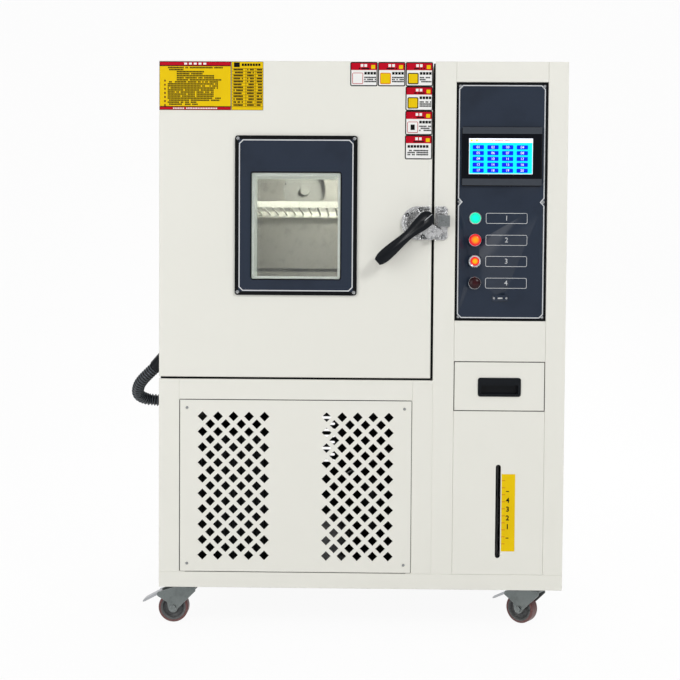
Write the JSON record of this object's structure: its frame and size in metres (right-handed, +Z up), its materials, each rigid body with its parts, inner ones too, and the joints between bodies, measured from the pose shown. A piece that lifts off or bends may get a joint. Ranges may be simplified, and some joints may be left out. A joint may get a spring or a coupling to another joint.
{
  "type": "temperature and humidity test chamber",
  "caption": "Free-standing environmental test chamber on casters: insulated test space behind a windowed door, control column with touch screen, water drawer and vented machine bay.",
  "frame": {"origin": "bottom centre of the machine's box, brake pedals and latch lever included, on the floor", "axes": "+Z up, -Y out of the door and the control panel, +X to the right of a person facing the door"},
  "size_m": [1.0675, 0.976, 1.39],
  "materials": {
    "powder_coat": "fine textured off-white powder coat",
    "stainless": "brushed stainless sheet",
    "zinc_plated": "bright zinc plating",
    "zinc_cast": "die-cast zinc, satin",
    "fascia": "satin blue-black panel with a silver line",
    "glass": "clear float glass",
    "screen": "glossy black bezel round a lit display",
    "bezel_metal": "turned metal bezel",
    "green_lens": "translucent green lens",
    "red_lens": "translucent red lens",
    "black_plastic": "black moulded plastic",
    "black_hose": "black corrugated conduit",
    "rubber_seal": "grey silicone rubber",
    "foam": "rigid insulating foam",
    "lamp_glass": "frosted lamp glass",
    "tank_plastic": "translucent white moulded tank",
    "control_gear": "grey moulded control gear",
    "black_paint": "gloss black enamel",
    "fin_aluminium": "plain aluminium",
    "fan_paint": "dark moulded fan blades",
    "wheel_rubber": "dark red tread on a grey core"
  },
  "bodies": {
    "cabinet": {"front_frame": "powder_coat", "base_frame": "powder_coat", "left_side_panel": "powder_coat", "right_side_panel": "powder_coat", "top_cover": "powder_coat", "rear_panel": "powder_coat", "grille_panel": "powder_coat", "column_panels": "powder_coat", "inner_liner": "stainless", "insulation": "foam", "air_baffle": "stainless", "shelf": "stainless", "shelf_rails": "stainless", "chamber_lamp": "lamp_glass", "control_panel": "fascia", "touch_screen": "screen", "pilot_lamps": "bezel_metal", "drawer_runners": "zinc_plated", "water_tank": "tank_plastic", "level_tube": "glass", "strike_keeper": "zinc_cast", "hinge_frame_leaves": "zinc_plated", "door_conduit": "black_hose", "cable_glands": "black_plastic", "test_port": "stainless", "blower_motor": "fin_aluminium", "evaporator": "fin_aluminium", "condenser": "fin_aluminium", "compressor": "black_paint", "humidifier": "stainless", "electrical_board": "control_gear", "caster_plates": "zinc_plated"},
    "door": {"door_shell": "powder_coat", "door_insulation": "foam", "door_liner": "stainless", "door_gasket": "rubber_seal", "window_frame": "fascia", "window_glass": "glass", "latch_base": "zinc_cast", "hinge_door_leaves": "zinc_plated", "conduit_gland_door": "black_plastic"},
    "latch_lever": {"latch_lever": "black_plastic"},
    "drawer": {"drawer_front": "powder_coat", "drawer_tray": "stainless", "drawer_pull": "black_plastic"},
    "light_button": {"light_button": "green_lens"},
    "power_button": {"power_button": "red_lens"},
    "blower_wheel": {"blower_wheel": "fin_aluminium"},
    "condenser_fan": {"condenser_fan": "fan_paint"},
    "port_plug": {"test_port_plug": "rubber_seal"},
    "fork_front_left": {"caster_fork_front_left": "zinc_plated"},
    "wheel_front_left": {"caster_wheel_front_left": "wheel_rubber"},
    "pedal_front_left": {"brake_pedal_front_left": "zinc_plated"},
    "fork_front_right": {"caster_fork_front_right": "zinc_plated"},
    "wheel_front_right": {"caster_wheel_front_right": "wheel_rubber"},
    "pedal_front_right": {"brake_pedal_front_right": "zinc_plated"},
    "fork_rear_left": {"caster_fork_rear_left": "zinc_plated"},
    "wheel_rear_left": {"caster_wheel_rear_left": "wheel_rubber"},
    "fork_rear_right": {"caster_fork_rear_right": "zinc_plated"},
    "wheel_rear_right": {"caster_wheel_rear_right": "wheel_rubber"}
  },
  "joints": [
    {"name": "door_hinge", "type": "hinge", "parent": "cabinet", "child": "door", "pos_m": [-0.4743, -0.372, 1.00675], "axis": [0, 0, -1], "range_deg": [0, 120], "deforming": ["door_conduit"]},
    {"name": "latch_turn", "type": "hinge", "parent": "door", "child": "latch_lever", "pos_m": [0.178, -0.45, 1.007], "axis": [0, -1, 0], "range_deg": [0, 48.6]},
    {"name": "drawer_slide", "type": "slide", "parent": "cabinet", "child": "drawer", "axis": [0, -1, 0], "range_m": [0, 0.24]},
    {"name": "light_press", "type": "slide", "parent": "cabinet", "child": "light_button", "axis": [0, 1, 0], "range_m": [0, 0.004], "stiffness_N_per_m": 300},
    {"name": "power_press", "type": "slide", "parent": "cabinet", "child": "power_button", "axis": [0, 1, 0], "range_m": [0, 0.004], "stiffness_N_per_m": 300},
    {"name": "blower_spin", "type": "hinge", "parent": "cabinet", "child": "blower_wheel", "pos_m": [-0.1375, 0.0465, 1.12675], "axis": [0, 1, 0], "continuous": true},
    {"name": "condenser_fan_spin", "type": "hinge", "parent": "cabinet", "child": "condenser_fan", "pos_m": [-0.244, -0.282, 0.3095], "axis": [0, 1, 0], "continuous": true},
    {"name": "port_plug_pull", "type": "slide", "parent": "cabinet", "child": "port_plug", "axis": [-1, 0, 0], "range_m": [0, 0.11]},
    {"name": "swivel_front_left", "type": "hinge", "parent": "cabinet", "child": "fork_front_left", "pos_m": [-0.411, -0.363, 0.0887], "axis": [0, 0, 1], "continuous": true},
    {"name": "roll_front_left", "type": "hinge", "parent": "fork_front_left", "child": "wheel_front_left", "pos_m": [-0.443, -0.363, 0.0375], "axis": [0, 1, 0], "continuous": true},
    {"name": "brake_front_left", "type": "hinge", "parent": "fork_front_left", "child": "pedal_front_left", "pos_m": [-0.477, -0.363, 0.072], "axis": [0, -1, 0], "range_deg": [0, 18]},
    {"name": "swivel_front_right", "type": "hinge", "parent": "cabinet", "child": "fork_front_right", "pos_m": [0.463, -0.363, 0.0887], "axis": [0, 0, 1], "continuous": true},
    {"name": "roll_front_right", "type": "hinge", "parent": "fork_front_right", "child": "wheel_front_right", "pos_m": [0.43744, -0.34374, 0.0375], "axis": [0.6018, 0.7986, 0], "continuous": true},
    {"name": "brake_front_right", "type": "hinge", "parent": "fork_front_right", "child": "pedal_front_right", "pos_m": [0.41029, -0.32328, 0.072], "axis": [-0.6018, -0.7986, 0], "range_deg": [0, 18]},
    {"name": "swivel_rear_left", "type": "hinge", "parent": "cabinet", "child": "fork_rear_left", "pos_m": [-0.411, 0.387, 0.0887], "axis": [0, 0, 1], "continuous": true},
    {"name": "roll_rear_left", "type": "hinge", "parent": "fork_rear_left", "child": "wheel_rear_left", "pos_m": [-0.4423, 0.39365, 0.0375], "axis": [0.2079, 0.9781, 0], "continuous": true},
    {"name": "swivel_rear_right", "type": "hinge", "parent": "cabinet", "child": "fork_rear_right", "pos_m": [0.463, 0.387, 0.0887], "axis": [0, 0, 1], "continuous": true},
    {"name": "roll_rear_right", "type": "hinge", "parent": "fork_rear_right", "child": "wheel_rear_right", "pos_m": [0.43333, 0.39899, 0.0375], "axis": [0.3746, 0.9272, 0], "continuous": true}
  ]
}
